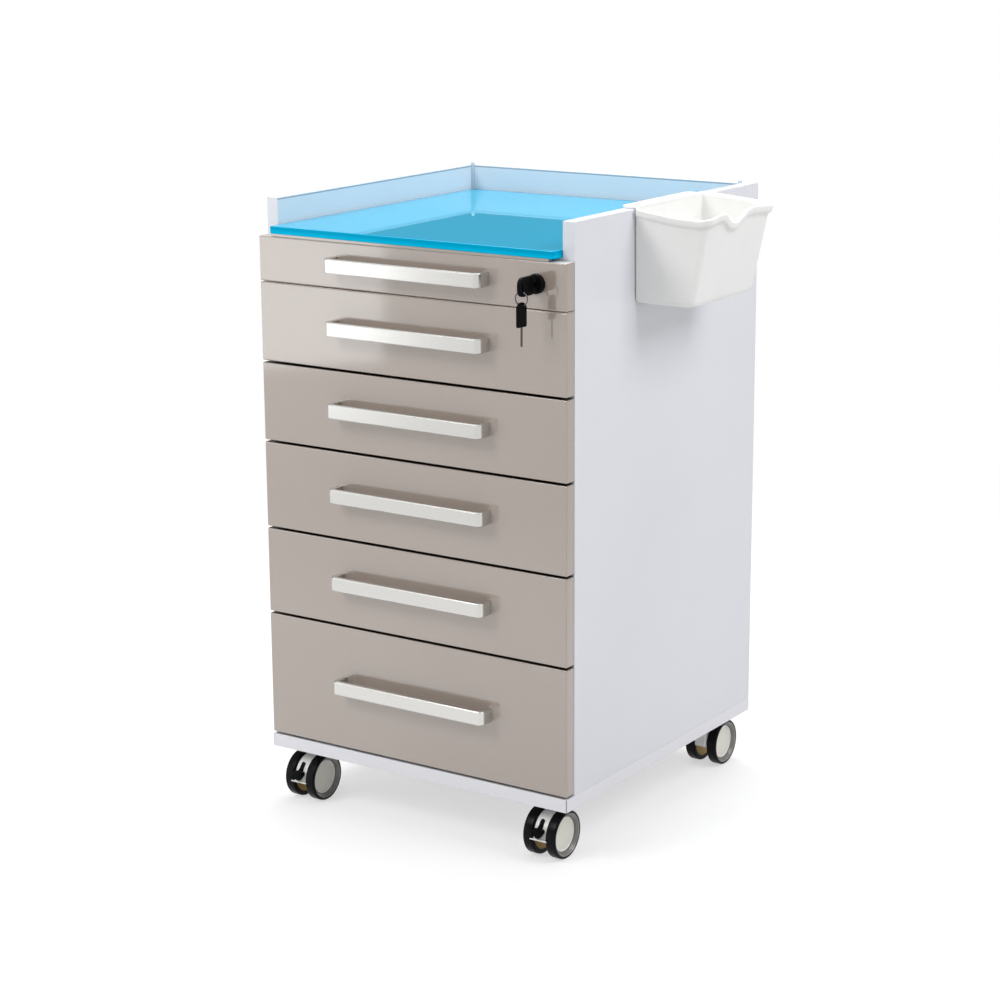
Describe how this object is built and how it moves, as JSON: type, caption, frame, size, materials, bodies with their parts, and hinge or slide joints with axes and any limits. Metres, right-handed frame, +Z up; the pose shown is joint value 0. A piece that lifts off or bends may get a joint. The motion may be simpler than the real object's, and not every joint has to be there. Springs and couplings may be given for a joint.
{
  "type": "mobile dental cabinet",
  "caption": "White mobile drawer cabinet on casters with taupe drawers, glass worktop in a gallery, lock and a hanging side bin.",
  "frame": {"origin": "on the floor, under the middle of the cabinet body", "axes": "+X to the right seen from the front, +Y to the back, +Z up; the drawers open along -Y"},
  "size_m": [0.5996, 0.532, 0.8384],
  "materials": {
    "white_board": "smooth white laminate",
    "taupe_board": "high gloss taupe film",
    "blue_glass": "polished, coloured from behind",
    "handle_metal": "satin, fine grain along the bar",
    "runner_steel": "bright zinc plate",
    "lock_black": "black satin",
    "lock_steel": "plain steel",
    "key_black": "black moulded head, steel blade",
    "ring_steel": "polished wire",
    "bin_plastic": "milky white, slightly translucent",
    "caster_cream": "moulded, pale grey",
    "tyre_black": "smooth black tread",
    "lever_black": "moulded, black",
    "plate_steel": "zinc plate"
  },
  "bodies": {
    "root": {"left_side_panel": "white_board", "right_side_panel": "white_board", "back_panel": "white_board", "base_board": "white_board", "top_board": "white_board", "glass_worktop": "blue_glass", "cabinet_runners": "runner_steel", "caster_plates": "plate_steel", "caster_screws": "plate_steel"},
    "drawer_6": {"drawer_6_front": "taupe_board", "drawer_6_box": "white_board", "drawer_6_handle": "handle_metal", "drawer_6_inner_runners": "runner_steel"},
    "drawer_6_middle": {"drawer_6_middle_runners": "runner_steel"},
    "drawer_5": {"drawer_5_front": "taupe_board", "drawer_5_box": "white_board", "drawer_5_handle": "handle_metal", "drawer_5_inner_runners": "runner_steel"},
    "drawer_5_middle": {"drawer_5_middle_runners": "runner_steel"},
    "drawer_4": {"drawer_4_front": "taupe_board", "drawer_4_box": "white_board", "drawer_4_handle": "handle_metal", "drawer_4_inner_runners": "runner_steel"},
    "drawer_4_middle": {"drawer_4_middle_runners": "runner_steel"},
    "drawer_3": {"drawer_3_front": "taupe_board", "drawer_3_box": "white_board", "drawer_3_handle": "handle_metal", "drawer_3_inner_runners": "runner_steel"},
    "drawer_3_middle": {"drawer_3_middle_runners": "runner_steel"},
    "drawer_2": {"drawer_2_front": "taupe_board", "drawer_2_box": "white_board", "drawer_2_handle": "handle_metal", "drawer_2_inner_runners": "runner_steel"},
    "drawer_2_middle": {"drawer_2_middle_runners": "runner_steel"},
    "drawer_1": {"drawer_1_front": "taupe_board", "drawer_1_box": "white_board", "drawer_1_handle": "handle_metal", "drawer_1_inner_runners": "runner_steel", "lock_housing": "lock_black"},
    "drawer_1_middle": {"drawer_1_middle_runners": "runner_steel"},
    "lock_turning": {"lock_barrel": "lock_black", "lock_tongue": "lock_steel", "lock_key": "key_black"},
    "key_ring": {"key_ring": "ring_steel"},
    "waste_bin": {"waste_bin": "bin_plastic"},
    "caster_front_left": {"caster_front_left_housing": "caster_cream"},
    "caster_front_left_wheels": {"caster_front_left_tyres": "tyre_black", "caster_front_left_hubs": "caster_cream"},
    "brake_lever_front_left": {"brake_lever_front_left": "lever_black"},
    "caster_front_right": {"caster_front_right_housing": "caster_cream"},
    "caster_front_right_wheels": {"caster_front_right_tyres": "tyre_black", "caster_front_right_hubs": "caster_cream"},
    "brake_lever_front_right": {"brake_lever_front_right": "lever_black"},
    "caster_back_left": {"caster_back_left_housing": "caster_cream"},
    "caster_back_left_wheels": {"caster_back_left_tyres": "tyre_black", "caster_back_left_hubs": "caster_cream"},
    "caster_back_right": {"caster_back_right_housing": "caster_cream"},
    "caster_back_right_wheels": {"caster_back_right_tyres": "tyre_black", "caster_back_right_hubs": "caster_cream"}
  },
  "joints": [
    {"name": "drawer_6_slide", "type": "slide", "parent": "root", "child": "drawer_6", "axis": [0, -1, 0], "range_m": [0, 0.39]},
    {"name": "drawer_6_middle_slide", "type": "slide", "parent": "root", "child": "drawer_6_middle", "axis": [0, -1, 0], "range_m": [0, 0.195]},
    {"name": "drawer_5_slide", "type": "slide", "parent": "root", "child": "drawer_5", "axis": [0, -1, 0], "range_m": [0, 0.39]},
    {"name": "drawer_5_middle_slide", "type": "slide", "parent": "root", "child": "drawer_5_middle", "axis": [0, -1, 0], "range_m": [0, 0.195]},
    {"name": "drawer_4_slide", "type": "slide", "parent": "root", "child": "drawer_4", "axis": [0, -1, 0], "range_m": [0, 0.39]},
    {"name": "drawer_4_middle_slide", "type": "slide", "parent": "root", "child": "drawer_4_middle", "axis": [0, -1, 0], "range_m": [0, 0.195]},
    {"name": "drawer_3_slide", "type": "slide", "parent": "root", "child": "drawer_3", "axis": [0, -1, 0], "range_m": [0, 0.39]},
    {"name": "drawer_3_middle_slide", "type": "slide", "parent": "root", "child": "drawer_3_middle", "axis": [0, -1, 0], "range_m": [0, 0.195]},
    {"name": "drawer_2_slide", "type": "slide", "parent": "root", "child": "drawer_2", "axis": [0, -1, 0], "range_m": [0, 0.39]},
    {"name": "drawer_2_middle_slide", "type": "slide", "parent": "root", "child": "drawer_2_middle", "axis": [0, -1, 0], "range_m": [0, 0.195]},
    {"name": "drawer_1_slide", "type": "slide", "parent": "root", "child": "drawer_1", "axis": [0, -1, 0], "range_m": [0, 0.39]},
    {"name": "drawer_1_middle_slide", "type": "slide", "parent": "root", "child": "drawer_1_middle", "axis": [0, -1, 0], "range_m": [0, 0.195]},
    {"name": "lock_turn", "type": "hinge", "parent": "drawer_1", "child": "lock_turning", "pos_m": [0.1965, -0.245, 0.75827], "axis": [0, 1, 0], "range_deg": [-90, 0]},
    {"name": "key_ring_swing", "type": "hinge", "parent": "lock_turning", "child": "key_ring", "pos_m": [0.1965, -0.2795, 0.75197], "axis": [1, 0, 0], "range_deg": [-20, 10]},
    {"name": "bin_lift", "type": "slide", "parent": "root", "child": "waste_bin", "axis": [0, 0, 1], "range_m": [0, 0.15]},
    {"name": "caster_front_left_swivel", "type": "hinge", "parent": "root", "child": "caster_front_left", "pos_m": [-0.197, -0.193, 0.07], "axis": [0, 0, 1], "continuous": true},
    {"name": "caster_front_left_roll", "type": "hinge", "parent": "caster_front_left", "child": "caster_front_left_wheels", "pos_m": [-0.197, -0.213, 0.0325], "axis": [1, 0, 0], "continuous": true},
    {"name": "brake_lever_front_left_tilt", "type": "hinge", "parent": "caster_front_left", "child": "brake_lever_front_left", "pos_m": [-0.197, -0.2364, 0.046], "axis": [1, 0, 0], "range_deg": [-10, 0]},
    {"name": "caster_front_right_swivel", "type": "hinge", "parent": "root", "child": "caster_front_right", "pos_m": [0.197, -0.193, 0.07], "axis": [0, 0, 1], "continuous": true},
    {"name": "caster_front_right_roll", "type": "hinge", "parent": "caster_front_right", "child": "caster_front_right_wheels", "pos_m": [0.197, -0.213, 0.0325], "axis": [1, 0, 0], "continuous": true},
    {"name": "brake_lever_front_right_tilt", "type": "hinge", "parent": "caster_front_right", "child": "brake_lever_front_right", "pos_m": [0.197, -0.2364, 0.046], "axis": [1, 0, 0], "range_deg": [-10, 0]},
    {"name": "caster_back_left_swivel", "type": "hinge", "parent": "root", "child": "caster_back_left", "pos_m": [-0.197, 0.193, 0.07], "axis": [0, 0, 1], "continuous": true},
    {"name": "caster_back_left_roll", "type": "hinge", "parent": "caster_back_left", "child": "caster_back_left_wheels", "pos_m": [-0.197, 0.213, 0.0325], "axis": [1, 0, 0], "continuous": true},
    {"name": "caster_back_right_swivel", "type": "hinge", "parent": "root", "child": "caster_back_right", "pos_m": [0.197, 0.193, 0.07], "axis": [0, 0, 1], "continuous": true},
    {"name": "caster_back_right_roll", "type": "hinge", "parent": "caster_back_right", "child": "caster_back_right_wheels", "pos_m": [0.197, 0.213, 0.0325], "axis": [1, 0, 0], "continuous": true}
  ],
  "couplings": [
    {"joint": "drawer_6_middle_slide", "follows": "drawer_6_slide", "ratio": 0.5},
    {"joint": "drawer_5_middle_slide", "follows": "drawer_5_slide", "ratio": 0.5},
    {"joint": "drawer_4_middle_slide", "follows": "drawer_4_slide", "ratio": 0.5},
    {"joint": "drawer_3_middle_slide", "follows": "drawer_3_slide", "ratio": 0.5},
    {"joint": "drawer_2_middle_slide", "follows": "drawer_2_slide", "ratio": 0.5},
    {"joint": "drawer_1_middle_slide", "follows": "drawer_1_slide", "ratio": 0.5}
  ]
}
